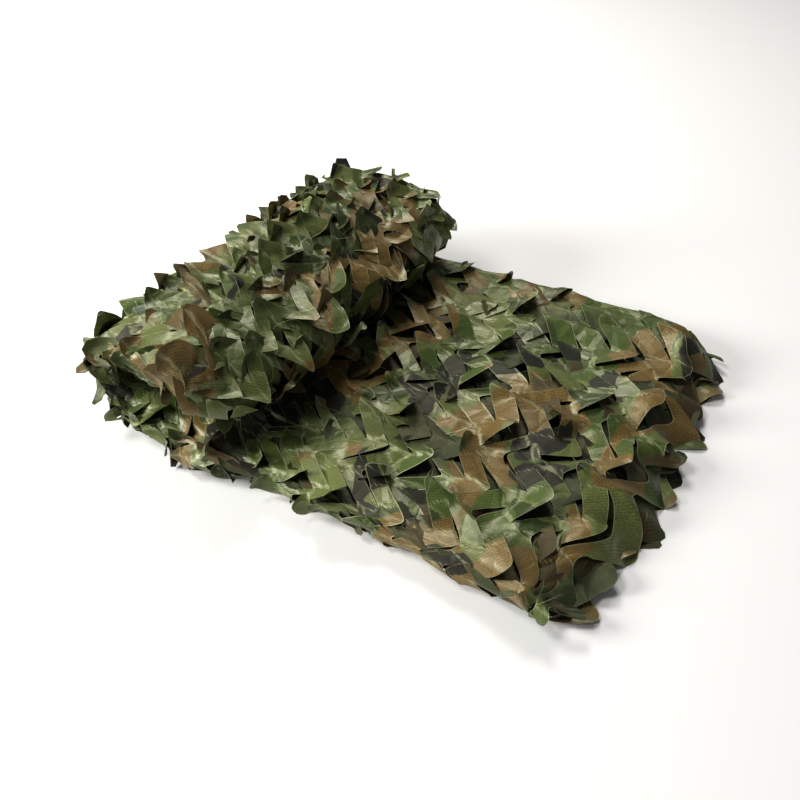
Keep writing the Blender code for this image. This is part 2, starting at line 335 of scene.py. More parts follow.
def layOutCuts(chance, flatAcross):
    # For each cut line and column: whether it is open, how near a crest, and the bow's number.
    isOpen = np.zeros(flatAcross.shape, bool)
    nearCrest = np.zeros(flatAcross.shape)
    bow = -np.ones(flatAcross.shape, int)
    peaks = []
    jitter = cut["bowJitter"]
    for line, across in enumerate(flatAcross):
        low, high = cut["evenBow"] if line % 2 == 0 else cut["oddBow"]
        offset = 0.0 if line % 2 == 0 else cut["period"] / 2.0
        for wave in range(-cut["waves"], cut["waves"] + 1):
            crest = offset + wave * cut["period"]
            if abs(crest) > across[-1] - cut["sideMargin"]:
                continue
            start = crest + low + chance.uniform(-jitter, jitter)
            end = crest + high + chance.uniform(-jitter, jitter)
            inside = (across > start) & (across < end)
            away = np.maximum((crest - across) / (crest - start), (across - crest) / (end - crest))
            isOpen[line] |= inside
            nearCrest[line][inside] = smoothStep(0.0, cut["crestShare"], 1.0 - away[inside])
            bow[line][inside] = len(peaks)
            peaks.append((line, crest))
    return isOpen, nearCrest, bow, peaks


def flatCloth(lines, across, rowShare):
    # Every point's place on the flat cloth and first place on the strip.
    numbers = np.arange(len(lines["at"]))
    line = numbers[:-1, None, None] + rowShare[None, :, None]
    at = {name: np.interp(line, numbers, values) for name, values in lines.items()}
    shape = (len(numbers) - 1, len(rowShare), len(across))
    flat = np.zeros((*shape, 2))
    flat[..., 0] = across / at["shrink"]
    wave = at["scale"] * cutWave(flat[..., 0] / at["scale"], at["reach"], at["sharpness"])
    flat[..., 1] = at["flat"] + wave
    cloth = np.zeros((*shape, 3))
    cloth[..., 0] = across
    cloth[..., 1] = at["at"] + wave
    return flat, cloth


def unsettle(chance, cloth):
    # Shifts the cloth, and gives the lowest that it may lie and how lively it is.
    across = cloth[..., 0]
    along = cloth[..., 1]
    shifts = [smoothNoise(chance, across, along, *uneven[name][:2]) for name in ("shiftAcross", "shiftAlong")]
    inner = np.clip(np.minimum(along, stripLength - along) / uneven["endFade"], 0.0, 1.0)
    inner *= np.clip((cut["halfAcross"] - np.abs(across)) / uneven["sideFade"], 0.0, 1.0)
    lowest = uneven["under"]
    for scale, waves, size in uneven["hollows"]:
        lowest = lowest + smoothNoise(chance, across, along, scale, waves) * size
    scale, waves, size = uneven["lively"]
    liveliness = 1.0 + bumps(calm, across, along)
    liveliness *= 1.0 + size * np.tanh(smoothNoise(chance, across, along, scale, waves))
    liveliness = np.clip(liveliness, *uneven["livelyRange"])
    cloth[..., 0] += shifts[0] * inner * uneven["shiftAcross"][2]
    cloth[..., 1] += shifts[1] * inner * uneven["shiftAlong"][2]
    return lowest, liveliness


def leafPushes(chance, cuts, cloth, rowShare, liveliness):
    # Each point's lift and lean, leaf corners up and notches a little down, and where it is held.
    isOpen, nearCrest, bow, peaks = cuts
    bands = len(cloth)
    tip = chance.uniform(*leaves["corner"], len(peaks))
    tip[chance.random(len(peaks)) < leaves["turnedShare"]] *= leaves["turned"]
    sway = chance.uniform(-1.0, 1.0, len(peaks))
    lift, lean, held = np.zeros((3, *cloth.shape[:3]))
    fall = (1.0 - rowShare)[:, None]
    for number in range(bands + 1):
        ids = bow[number]
        push = np.where(ids >= 0, nearCrest[number] * tip[ids], 0.0)
        swing = np.where(ids >= 0, nearCrest[number] * sway[ids], 0.0)
        for band, near, edge in ((number - 1, fall[::-1], slice(-2, None)), (number, fall, slice(0, 2))):
            if not 0 <= band < bands:
                continue
            isLeaf = (number % 2 == 0) == (band < number)
            lift[band] += near * push * (1.0 if isLeaf else leaves["notch"])
            lean[band] += near * swing * (1.0 if isLeaf else leaves["notchSway"])
            held[band, edge] = np.maximum(held[band, edge], ~isOpen[number])
    across = cloth[..., 0]
    along = cloth[..., 1]
    lift *= 1.0 + leaves["onFlat"] * fade("onFlat", along) + leaves["onRight"] * fade("onRight", along)
    nearEnd = fade("nearLooseEnd", along)
    onFold = np.exp(-((across / strip["nearFoldHalf"]) ** 2))
    lift *= 1.0 - (leaves["nearFold"] + leaves["nearFoldAtEnd"] * nearEnd) * onFold
    farLift = leaves["far"] - leaves["farOnFlat"] * fade("farOnFlat", along) - leaves["farAtEnd"] * nearEnd
    lift *= 1.0 + farLift * fade("farPart", np.abs(across))
    underEdge = fade("underFold", across) * fade("underFace", across)
    lift *= 1.0 - leaves["underEdge"] * underEdge * fade("lowOnRoll", along)
    lift *= liveliness
    return lift, lean, held


def foldLeaves(chance, cuts, lines, flat, across, rowShare):
    # Parts each band into flat facets, from its bows' ends, down some leaves and across some tips.
    # Gives the facets, the distance from a crease and the tips' own lift.
    isOpen, _, _, peaks = cuts
    bands = len(flat)
    facet = np.zeros(flat.shape[:3], int)
    crease = np.full(flat.shape[:3], 1.0)
    lineAcross = across[None, :] / (lines["shrink"] * lines["scale"])[:, None]

    def addFold(band, fold):
        facet[band] += across[None, :] > fold[:, None]
        crease[band] = np.minimum(crease[band], np.abs(across[None, :] - fold[:, None]))

    for band in range(bands):
        for number, start in ((band, 0.0), (band + 1, 1.0)):
            if not 0 < number < bands:
                continue
            fromStart = np.abs(rowShare - start)
            here = {name: values[number] for name, values in lines.items()}
            shrink = here["shrink"] * here["scale"]
            for end in np.nonzero(np.diff(isOpen[number].astype(int)))[0]:
                slope = cutSlope(lineAcross[number][end], here["reach"], here["sharpness"])
                slope *= 1.0 if start else -1.0
                skew = cut["spacing"] * slope / (1.0 + slope * slope)
                skew += chance.uniform(-folds["endJitter"], folds["endJitter"])
                addFold(band, across[end] + cut["columnStep"] / 2.0 + skew * shrink * fromStart)
            creased = folds["creased"] * min(1.0, folds["creasedRise"] * here["at"])
            for ownLine, crest in peaks:
                if ownLine == number and chance.random() < creased:
                    fold = crest + chance.uniform(-folds["crestJitter"], folds["crestJitter"])
                    fold = fold + chance.uniform(-folds["lean"], folds["lean"]) * fromStart
                    addFold(band, fold * shrink)
    tipLift = np.zeros(flat.shape[:3])
    least, more, leftMore = folds["tipPushParts"]
    for count, (number, crest) in enumerate(peaks):
        band = number - 1 if number % 2 == 0 else number
        here = {name: values[number] for name, values in lines.items()}
        crumpled = float(fade("crumpledTips", here["at"]))
        share = folds["smoothTipShare"] + (folds["tipShare"] - folds["smoothTipShare"]) * crumpled
        if not 0 <= band < bands or chance.random() > share:
            continue
        ahead = 1.0 if number % 2 == 0 else -1.0
        size = here["scale"]
        corner = (here["flat"] + size * float(cutWave(crest, here["reach"], here["sharpness"]))) * ahead
        depth = chance.uniform(*folds["tipDepth"])
        tilt = chance.uniform(-folds["tipTilt"], folds["tipTilt"])
        aside = flat[band, ..., 0] - crest * size
        fromCorner = corner - flat[band, ..., 1] * ahead + tilt * aside
        isTip = (fromCorner < depth) & (np.abs(aside) < folds["tipHalfWidth"])
        facet[band][isTip] += 100 * (count + 1)
        push = (1.0 - fromCorner[isTip] / depth).clip(0.0, 1.0) * chance.uniform(*folds["tipPush"])
        push -= np.abs(aside[isTip]) / folds["keelHalfWidth"] * chance.uniform(*folds["keel"])
        onLeft = float(fade("leftOfRoll", here["at"]))
        tipLift[band][isTip] = push * (least + more * crumpled + leftMore * onLeft)
        crease[band] = np.where(isTip, np.minimum(crease[band], depth - fromCorner), crease[band])
    facet += 100000 * np.arange(bands)[:, None, None]
    return np.unique(facet.ravel(), return_inverse=True)[1], crease, tipLift


def flattener(facets, flat):
    # Gives a function that moves every facet's points towards one flat piece.
    sizes = np.maximum(np.bincount(facets), 1)

    def facetSum(values):
        return np.bincount(facets, weights=values.ravel(), minlength=len(sizes))

    flatFrom = [flat[..., k].ravel() - (facetSum(flat[..., k]) / sizes)[facets] for k in range(2)]
    flatFrom = np.stack(flatFrom, -1)

    def flatten(cloth, amount):
        centre = np.stack([facetSum(cloth[..., k]) / sizes for k in range(3)], -1)
        spread = cloth.reshape(-1, 3) - centre[facets]
        form = np.empty((len(sizes), 3, 2))
        for k in range(3):
            for m in range(2):
                form[:, k, m] = facetSum(spread[:, k] * flatFrom[:, m])
        left, _, right = np.linalg.svd(form, full_matrices=False)
        turn = left @ right
        goal = np.einsum("nkm,nm->nk", turn[facets], flatFrom) - spread
        cloth += (goal * amount).reshape(cloth.shape)

    return flatten


def clothPairs(flat):
    # Pairs of neighbouring points, with their flat distance and how firmly they keep it.
    _, rows, columns, _ = flat.shape
    pairs = []
    every = slice(None)
    allButLast = slice(None, -1)
    allButFirst = slice(1, None)

    def addPairs(first, second, amount):
        rest = np.sqrt(((flat[first] - flat[second]) ** 2).sum(-1))
        pairs.append((first, second, rest, amount))

    for start, end in chains(columns, 1):
        addPairs((every, every, start), (every, every, end), relaxing["edges"])
    for start, end in chains(rows, 1):
        addPairs((every, start), (every, end), relaxing["edges"])
        addPairs((every, start, allButLast), (every, end, allButFirst), relaxing["diagonals"])
        addPairs((every, start, allButFirst), (every, end, allButLast), relaxing["diagonals"])
    for start, end in chains(columns, 2):
        addPairs((every, every, start), (every, every, end), relaxing["bending"])
    return pairs


def relaxNet():
    # The slit cloth, brought to rest with its bows open and its leaves lifted.
    chance = np.random.default_rng(cut["seed"])
    rows = cut["rows"]
    rowShare = np.arange(rows + 1) / rows
    columns = int(round(2 * cut["halfAcross"] / cut["columnStep"])) + 1
    across = np.linspace(-cut["halfAcross"], cut["halfAcross"], columns)
    lines = cutLines()
    cuts = layOutCuts(chance, across[None, :] / (lines["shrink"] * lines["scale"])[:, None])
    isOpen = cuts[0]
    isOpen[[0, -1]] = True
    flat, cloth = flatCloth(lines, across, rowShare)
    lowest, liveliness = unsettle(chance, cloth)
    lift, lean, held = leafPushes(chance, cuts, cloth, rowShare, liveliness)
    cloth[..., 2] = lift * leaves["firstLift"] + chance.normal(0.0, leaves["roughness"], lift.shape)
    anchor = cloth[..., :2].copy()
    facets, crease, tipLift = foldLeaves(chance, cuts, lines, flat, across, rowShare)
    flatten = flattener(facets, flat)
    pairs = clothPairs(flat)

    welded = ~isOpen[1:-1]
    seamRest = np.sqrt(((flat[:-1, rows - 1] - flat[1:, 1]) ** 2).sum(-1))[welded]
    last = cloth.copy()
    steps = relaxing["steps"]
    for step in range(steps):
        drift = (cloth - last) * relaxing["drift"]
        last = cloth.copy()
        cloth += drift
        push = relaxing["push"] * max(relaxing["leastPush"], 1.0 - step / (relaxing["pushedShare"] * steps))
        cloth[..., 2] += (lift + tipLift * liveliness) * push - relaxing["weight"]
        cloth[..., 0] += lean * push * relaxing["sway"]
        for first, second, rest, amount in pairs:
            pull(cloth[first], cloth[second], rest, amount)
        flatten(cloth, relaxing["stiff"] if step < steps - relaxing["lastSteps"] else relaxing["lastStiff"])
        before = cloth[:-1, rows - 1][welded]
        after = cloth[1:, 1][welded]
        pull(before, after, seamRest, relaxing["seam"])
        cloth[:-1, rows - 1][welded] = before
        cloth[1:, 1][welded] = after
        middle = 0.5 * (cloth[:-1, rows] + cloth[1:, 0])[welded]
        cloth[:-1, rows][welded] = middle
        cloth[1:, 0][welded] = middle
        cloth[..., 2] = np.maximum(cloth[..., 2], lowest)
        cloth[..., :2] += (anchor - cloth[..., :2]) * (held * relaxing["hold"])[..., None]
        cloth[:, :, [0, -1], 0] = across[[0, -1]]
        cloth[0, 0, :, :2] = anchor[0, 0]
        cloth[-1, rows, :, :2] = anchor[-1, rows]
    return {"cloth": cloth, "flat": flat, "isOpen": isOpen, "crease": crease,
            "across": across, "lines": lines}


net = relaxNet()
print("net relaxed", flush=True)

# The loose right end: how far it reaches past the first station, falls and waves.
# A wave is (pitch, swing, pitch of the swing, its start), and a fine one has its share first.
looseEnd = {
    "past": (
        (-0.560, -0.016), (-0.400, -0.008), (-0.250, -0.006), (-0.120, -0.008), (-0.040, -0.034),
        (0.000, -0.044), (0.040, -0.044), (0.110, -0.018), (0.180, -0.004), (0.280, -0.002),
        (0.400, -0.010), (0.500, -0.016), (0.560, -0.020),
    ),
    "fade": 0.080, "droop": 0.022, "droopReach": 0.055, "mostFallen": 1.3, "ruffle": 0.009,
    "ruffleWave": (47.0, 2.0, 19.0, 0.6),
    "fineRuffle": (0.6, 104.0, 1.1),
    "flutter": 0.0038, "flutterWave": (70.0, 1.3, 31.0, 0.0),
    "fineFlutter": (0.8, 127.0, 60.0),
}

# Swellings and creases of the folded strip, as lift off its outer face.
swellings = {
    "columns": ("across", "along", "wide", "long", "lift"),
    "rows": (
        (-0.460, 1.010, 0.070, 0.080, 0.008),
        (-0.280, 1.030, 0.330, 0.050, 0.027),
        (-0.070, 0.900, 0.070, 0.110, 0.010),
        (-0.275, 0.985, 0.022, 0.075, -0.015),
        (-0.380, 0.850, 0.050, 0.080, 0.007),
        (-0.210, 0.850, 0.030, 0.060, -0.008),
        (0.150, 0.300, 0.060, 0.080, 0.005),
        (0.330, 0.180, 0.060, 0.070, 0.005),
        (0.230, 0.420, 0.040, 0.050, -0.004),
        (0.480, 0.060, 0.030, 0.050, 0.006),
        (0.420, 0.020, 0.030, 0.050, -0.004),
    ),
}

# How much lift the cloth loses or keeps, and how far the near fold moves in (over 0) or out, by which fades.
draped = {
    "lostInRoll": 0.75, "lostBeneath": 0.9, "lostInnermost": 0.8, "kept": 0.50, "keptOnRoll": 0.30,
    "lostAtFar": 0.25, "lostAtCorner": 0.4, "freeLift": 0.012, "lessFreeAtFar": 0.004,
    "inward": 0.005, "flatterOut": 0.30, "flatterIn": 0.80,
    "nearFoldMoves": (
        (0.034, ("innerEnd",)),
        (-0.006, ("turnStart", "turnEnd")),
        (-0.012, ("rollStart", "rollEnd")),
    ),
    "topFrom": 0.193, "topRound": 0.012,
}


def ripple(across, pitch, swing, swingPitch, swingStart):
    # A wave whose crests are unevenly spaced.
    return np.sin(across * pitch + swing * np.sin(across * swingPitch + swingStart))


def showing(across, along):
    # The share of its lift that the cloth keeps: little inside and beneath.
    bottom = fade("bottomFace", across) * fade("beforeFarFold", across)
    share = 1.0 - draped["lostInRoll"] * fade("topFace", across) * fade("insideRoll", along)
    share = share - draped["lostBeneath"] * bottom * (1.0 - fade("upTheTurn", along))
    return share * (1.0 - draped["lostInnermost"] * fade("innermost", along))


def drapedLift(across, along, lift):
    # Lift off the strip: tamed where high, pressed in beneath, waved at the loose end.
    beneath = fade("underside", across) * fade("beforeFarFold", across)
    beneath = beneath * (1.0 - fade("pastTurn", along))
    lift = np.where(beneath > 0.5, -np.abs(lift), lift)
    farEdge = fade("farEdge", np.abs(across)) * fade("farEdgeOnFlat", along)
    kept = draped["kept"] + draped["keptOnRoll"] * fade("ontoRoll", along)
    kept = kept * (1.0 - draped["lostAtFar"] * farEdge)
    kept = kept * (1.0 - draped["lostAtCorner"] * (farEdge * fade("looseCorner", along)))
    freeLift = draped["freeLift"] - draped["lessFreeAtFar"] * farEdge
    lift = np.where(lift > freeLift, freeLift + kept * (lift - freeLift), lift) - draped["inward"]
    lift = lift + bumps(swellings, across, along)
    share, pitch, pitchAlong = looseEnd["fineFlutter"]
    flutter = ripple(across, *looseEnd["flutterWave"])
    flutter = flutter + share * np.sin(across * pitch + pitchAlong * along)
    lift = lift + looseEnd["flutter"] * flutter * fade("fluttering", along)
    flatter = np.where(lift > 0.0, draped["flatterOut"], draped["flatterIn"])
    return lift * (1.0 - flatter * fade("farFold", np.abs(across)))


def drape(across, along, lift, past):
    # The cloth's points on the folded strip, with the loose end's reach and droop.
    lift = drapedLift(across, along, lift)
    fallen = np.clip(1.0 - along / looseEnd["droopReach"], 0.0, looseEnd["mostFallen"]) ** 2
    share, pitch, start = looseEnd["fineRuffle"]
    past = past + np.interp(across, *np.array(looseEnd["past"]).T)
    past = past + looseEnd["ruffle"] * ripple(across, *looseEnd["ruffleWave"])
    past = past + share * looseEnd["ruffle"] * np.sin(across * pitch + start)
    along = along - past * np.clip(1.0 - along / looseEnd["fade"], 0.0, 1.0)
    points = place(across, along, lift)
    points[..., 2] -= looseEnd["droop"] * fade("drooping", across) * fallen
    points[..., 2] = np.maximum(points[..., 2], strip["lowest"])
    for size, names in draped["nearFoldMoves"]:
        move = size * fade("nearFold", np.abs(across))
        for name in names:
            move = move * fade(name, along)
        points[..., 1] += move
    over = np.maximum(points[..., 2] - draped["topFrom"], 0.0)
    points[..., 2] -= over - draped["topRound"] * (1.0 - np.exp(-over / draped["topRound"]))
    return points


def addPiece(name, points, faces):
    # A smooth-shaded mesh, linked to the scene.
    mesh = bpy.data.meshes.new(name)
    mesh.from_pydata(points, [], faces)
    mesh.polygons.foreach_set("use_smooth", [True] * len(faces))
    mesh.update()
    piece = bpy.data.objects.new(name, mesh)
    bpy.context.scene.collection.objects.link(piece)
    return piece


def bandMesh(name, points, flat, isOpen, creases, shade):
    # One mesh from the bands of a sheet, joined wherever their lines are uncut.
    bands, rows, columns = points.shape[:3]
    index = np.arange(bands * rows * columns).reshape(bands, rows, columns)
    for band in range(bands - 1):
        joined = ~isOpen[band + 1]
        index[band + 1, 0][joined] = index[band, rows - 1][joined]
    corners = (index[:, :-1, :-1], index[:, :-1, 1:], index[:, 1:, 1:], index[:, 1:, :-1])
    used, compact = np.unique(np.stack(corners, -1).reshape(-1, 4), return_inverse=True)
    corners = compact.reshape(-1, 4)
    piece = addPiece(name, points.reshape(-1, 3)[used].tolist(), corners.tolist())
    mesh = piece.data
    layer = mesh.uv_layers.new(name="flat")
    layer.data.foreach_set("uv", flat.reshape(-1, 2)[used][corners].astype(np.float32).ravel())

    # Metres from the nearest cut edge and crease, and how deep a painted shade the cloth takes.
    width = flat[:, -1, 0, 1] - flat[:, 0, 0, 1]
    edge = np.full((bands, rows, columns), cut["edgeReach"])
    fromLow = (np.arange(rows) / (rows - 1))[None, :, None] * width[:, None, None]
    edge = np.where(isOpen[:-1][:, None, :], np.minimum(edge, fromLow), edge)
    edge = np.where(isOpen[1:][:, None, :], np.minimum(edge, width[:, None, None] - fromLow), edge)
    for label, values in (("cutEdge", edge), ("crease", creases), ("shade", shade)):
        attribute = mesh.attributes.new(label, "FLOAT", "POINT")
        attribute.data.foreach_set("value", values.reshape(-1)[used].astype(np.float32))
    mesh.update()
    return piece


def outerCloth():
    across, along, lift = np.moveaxis(net["cloth"], -1, 0)
    points = drape(across, along, lift * showing(across, along), 0.0)
    return bandMesh("netCloth", points, net["flat"], net["isOpen"], net["crease"], np.zeros(across.shape))


# Layers close behind the faces.  Depth and painted shade are on the flat and in the roll.  Their own cut is
# moved by so many columns and lines, and a closed one isn't cut through.
innerLayers = rowsOf({
    "columns": ("name", "across", "along", "depth", "shade", "past", "move", "lines", "closed"),
    "rows": (
        ("innerUpper", (-0.030, 0.543), (0.0, 0.59), (0.009, 0.009), (0.72, 0.72), 0.004, -15, 1, False),
        ("coreUpper", (-0.020, 0.536), (0.0, 0.53), (0.018, 0.018), (0.84, 0.84), 0.000, -40, 4, True),
        ("innerLower", (-0.543, 0.030), (0.0, 1.2), (0.008, 0.003), (0.66, 0.10), 0.002, 15, 1, False),
        ("coreLower", (-0.530, 0.020), (0.41, 1.2), (0.012, 0.007), (0.80, 0.40), 0.010, 38, 4, False),
    ),
})

# The inner layers' mesh takes every second point, and they rise less on the flat.  At the far fold they lie
# shallower and their painted shade is lighter.
inner = {
    "every": 2, "shallowerAtFar": 0.75, "lighterAtFar": 0.85, "rise": 0.45, "riseInRoll": 0.55,
}


def between(pair, share):
    return pair[0] + (pair[1] - pair[0]) * share


def innerCloth(layer):
    # The same cut cloth, moved along its pattern, its leaves rising into the gaps above.
    cloth = net["cloth"]
    across = net["across"]
    lineAt = net["lines"]["at"]
    first, last = np.searchsorted(across, layer["across"])
    kept = np.arange(first, last, inner["every"])
    source = np.clip(kept + layer["move"], 0, len(across) - 1)
    start, end = np.searchsorted(lineAt, layer["along"])
    here = np.arange(start, min(end, len(cloth)))
    bands = (here + layer["lines"]) % len(cloth)
    pick = np.ix_(bands, np.arange(0, cloth.shape[1], inner["every"]), source)
    moved = cloth[pick]
    placeAcross = moved[..., 0] + (across[kept] - across[source])
    along = moved[..., 1] + (lineAt[here] - lineAt[bands])[:, None, None]
    intoRoll = fade("intoRoll", along)
    atFar = fade("farLayers", np.abs(placeAcross))
    depth = between(layer["depth"], intoRoll) * (1.0 - inner["shallowerAtFar"] * atFar)
    # Painted shade: the deeper layers' colour is darkened, less so at the far fold.
    shade = between(layer["shade"], intoRoll) * (1.0 - inner["lighterAtFar"] * atFar)
    rise = inner["rise"] + inner["riseInRoll"] * intoRoll
    lift = moved[..., 2] * showing(placeAcross, along) * rise - depth
    points = drape(placeAcross, along, lift, layer["past"])
    isOpen = net["isOpen"][np.append(bands, bands[-1] + 1)][:, source]
    isOpen[1:-1] |= (np.diff(bands) != 1)[:, None]
    if layer["closed"]:
        isOpen[1:-1] = False
    return bandMesh(layer["name"], points, net["flat"][pick], isOpen, net["crease"][pick], shade)


# Fibres pulled loose along the cut edges.  curve and rise are shares of their length.
threads = {
    "name": "frayThreads",
    "count": 300, "length": (0.008, 0.030), "radius": 0.00020, "taper": 0.6, "curve": 0.6,
    "rise": (0.05, 0.45), "arch": 0.8, "clearance": 0.0004, "outward": 0.8, "rootEdge": 0.0005,
    "rootHeight": 0.012, "heights": (0.001, 0.204), "steps": 6, "seed": 11,
}


def meshValues(items, name, size):
    values = np.empty(len(items) * size, np.float32)
    items.foreach_get(name, values)
    return values.reshape(-1, size)


def frayThreads(surface):
    # One joined mesh of curved three-sided strands.
    chance = np.random.default_rng(threads["seed"])
    places = meshValues(surface.data.vertices, "co", 3)
    normals = meshValues(surface.data.vertices, "normal", 3)
    edge = meshValues(surface.data.attributes["cutEdge"].data, "value", 1)[:, 0]
    roots = np.nonzero((edge < threads["rootEdge"]) & (places[:, 2] > threads["rootHeight"]))[0]
    roots = chance.choice(roots, threads["count"], replace=False)
    steps = np.linspace(0.0, 1.0, threads["steps"] + 1)[:, None]
    angles = [2.0 * math.pi * corner / 3.0 for corner in range(3)]
    points = []
    faces = []
    for root in roots:
        normal = normals[root] * (1.0 if chance.random() < threads["outward"] else -1.0)
        run = np.cross(normal, chance.normal(size=3))
        run /= np.linalg.norm(run) + tiny
        curl = np.cross(normal, run)
        length = chance.uniform(*threads["length"])
        curve = chance.uniform(-1.0, 1.0) * length * threads["curve"]
        rise = chance.uniform(*threads["rise"]) * length
        line = places[root] + run * length * steps + curl * curve * steps ** 2
        line = line + normal * (rise * np.sin(steps * math.pi * threads["arch"]) + threads["clearance"])
        line[:, 2] = np.clip(line[:, 2], *threads["heights"])
        sides = [math.cos(angle) * normal + math.sin(angle) * curl for angle in angles]
        first = len(points)
        for number, middle in enumerate(line):
            radius = threads["radius"] * (1.0 - threads["taper"] * number / threads["steps"])
            points.extend(middle + radius * side for side in sides)
        for number in range(threads["steps"]):
            for corner in range(3):
                a = first + number * 3 + corner
                b = first + number * 3 + (corner + 1) % 3
                faces.append((a, b, b + 3, a + 3))
        last = first + 3 * threads["steps"]
        faces += [(first, first + 2, first + 1), (last, last + 1, last + 2)]
    return addPiece(threads["name"], np.array(points).tolist(), faces)


netCloth = outerCloth()
innerPieces = [innerCloth(layer) for layer in innerLayers]
frayPiece = frayThreads(netCloth)
print("cloth meshes made", len(netCloth.data.polygons), flush=True)


# Materials.
def feed(tree, socket, value):
    # Links a node's output to the socket, or sets the socket's value.
    if isinstance(value, bpy.types.NodeSocket):
        tree.links.new(value, socket)
    elif socket.type == "RGBA":
        socket.default_value = (*value, 1.0)
    else:
        socket.default_value = value


def feedAll(tree, node, values):
    for name, value in values.items():
        feed(tree, node.inputs[name], value)


def addNode(tree, kind, values=None, **settings):
    node = tree.nodes.new("ShaderNode" + kind)
    for name, value in settings.items():
        setattr(node, name, value)
    feedAll(tree, node, values or {})
    return node


def mathNode(tree, operation, first, second):
    return addNode(tree, "Math", {0: first, 1: second}, operation=operation).outputs[0]


def mixColour(tree, factor, first, second):
    # Sockets 6 and 7 and output 2 are the colours.
    return addNode(tree, "Mix", {0: factor, 6: first, 7: second}, data_type="RGBA").outputs[2]


def ramp(tree, value, low, high):
    values = {"Value": value, "From Min": low, "From Max": high}
    return addNode(tree, "MapRange", values, interpolation_type="SMOOTHSTEP").outputs["Result"]


def noise(tree, vector, scale, detail, roughness=0.5):
    values = {"Vector": vector, "Scale": scale, "Detail": detail, "Roughness": roughness}
    return addNode(tree, "TexNoise", values)


def moveVector(tree, vector, offset, amount):
    # The vector, moved by a share of the offset.
    values = {0: offset, 1: amount, 2: vector}
    return addNode(tree, "VectorMath", values, operation="MULTIPLY_ADD").outputs[0]


def attribute(tree, name):
    return addNode(tree, "Attribute", attribute_name=name).outputs["Fac"]


def newGroup(name, inputs, outputs):
    # A node group and its end nodes, from its sockets' names and kinds.
    group = bpy.data.node_groups.new(name, "ShaderNodeTree")
    for direction, sockets in (("INPUT", inputs), ("OUTPUT", outputs)):
        for label, kind in sockets.items():
            group.interface.new_socket(label, in_out=direction, socket_type="NodeSocket" + kind)
    return group, group.nodes.new("NodeGroupInput"), group.nodes.new("NodeGroupOutput")


def newMaterial(name):
    material = bpy.data.materials.new(name)
    material.use_nodes = True
    return material, material.node_tree, material.node_tree.nodes["Principled BSDF"]


mottleSockets = ("Scale", "Detail", "Roughness", "Low", "High", "Amount", "Tint")


def mottleGroup():
    # Patches of noise, as a mask and as a tint over a colour.
    kinds = {"Vector": "Vector", "Color": "Color", **dict.fromkeys(mottleSockets, "Float"), "Tint": "Color"}
    group, entry, ending = newGroup("mottle", kinds, {"Color": "Color", "Mask": "Float"})
    given = entry.outputs
    patches = noise(group, given["Vector"], given["Scale"], given["Detail"], given["Roughness"])
    mask = ramp(group, patches.outputs["Fac"], given["Low"], given["High"])
    amount = mathNode(group, "MULTIPLY", mask, given["Amount"])
    colour = mixColour(group, amount, given["Color"], given["Tint"])
    feedAll(group, ending, {"Color": colour, "Mask": mask})
    return group


mottle = mottleGroup()


def addMottle(tree, vector, colour, row):
    values = {"Vector": vector, "Color": colour, **dict(zip(mottleSockets, row))}
    return addNode(tree, "Group", values, node_tree=mottle).outputs


# The print: a ground colour, and blotches of warped noise laid over it in turn.
camo = {
    "ground": (0.094, 0.146, 0.031), "warpScale": 16.0, "warpDetail": 3.0,
    "warp": (0.060, 0.060, 0.0),
    "blotches": rowsOf({
        "columns": ("colour", "offset", "stretch", "noise", "detail", "range"),
        "rows": (
            ((0.190, 0.226, 0.065), (4.1, 1.4, 0.0), (1.0, 0.7, 1.0), 11.0, 1.0, (0.50, 0.515)),
            ((0.043, 0.075, 0.017), (2.7, 6.4, 0.0), (1.0, 0.7, 1.0), 12.0, 1.0, (0.60, 0.612)),
            ((0.256, 0.160, 0.047), (1.282, 4.310, 0.0), (0.8, 1.1, 1.0), 9.0, 1.2, (0.545, 0.555)),
            ((0.006, 0.006, 0.009), (3.131, 2.502, 0.0), (0.9, 1.3, 1.0), 10.0, 1.2, (0.606, 0.614)),
        ),
    }),
}


def camoPrint():
    # The last and blackest blotches are also put out as a mask.
    group, entry, ending = newGroup("camoPrint", {"Vector": "Vector"}, {"Color": "Color", "Black": "Float"})
    flat = entry.outputs["Vector"]
    warp = noise(group, flat, camo["warpScale"], camo["warpDetail"]).outputs["Color"]
    centred = addNode(group, "VectorMath", {0: warp, 1: (0.5, 0.5, 0.5)}, operation="SUBTRACT")
    warped = moveVector(group, flat, centred.outputs[0], camo["warp"])
    colour = camo["ground"]
    for blotch in camo["blotches"]:
        values = {"Vector": warped, "Location": blotch["offset"], "Scale": blotch["stretch"]}
        moved = addNode(group, "Mapping", values).outputs["Vector"]
        patches = noise(group, moved, blotch["noise"], blotch["detail"])
        mask = ramp(group, patches.outputs["Fac"], *blotch["range"])
        colour = mixColour(group, mask, colour, blotch["colour"])
    feedAll(group, ending, {"Color": colour, "Black": mask})
    return group


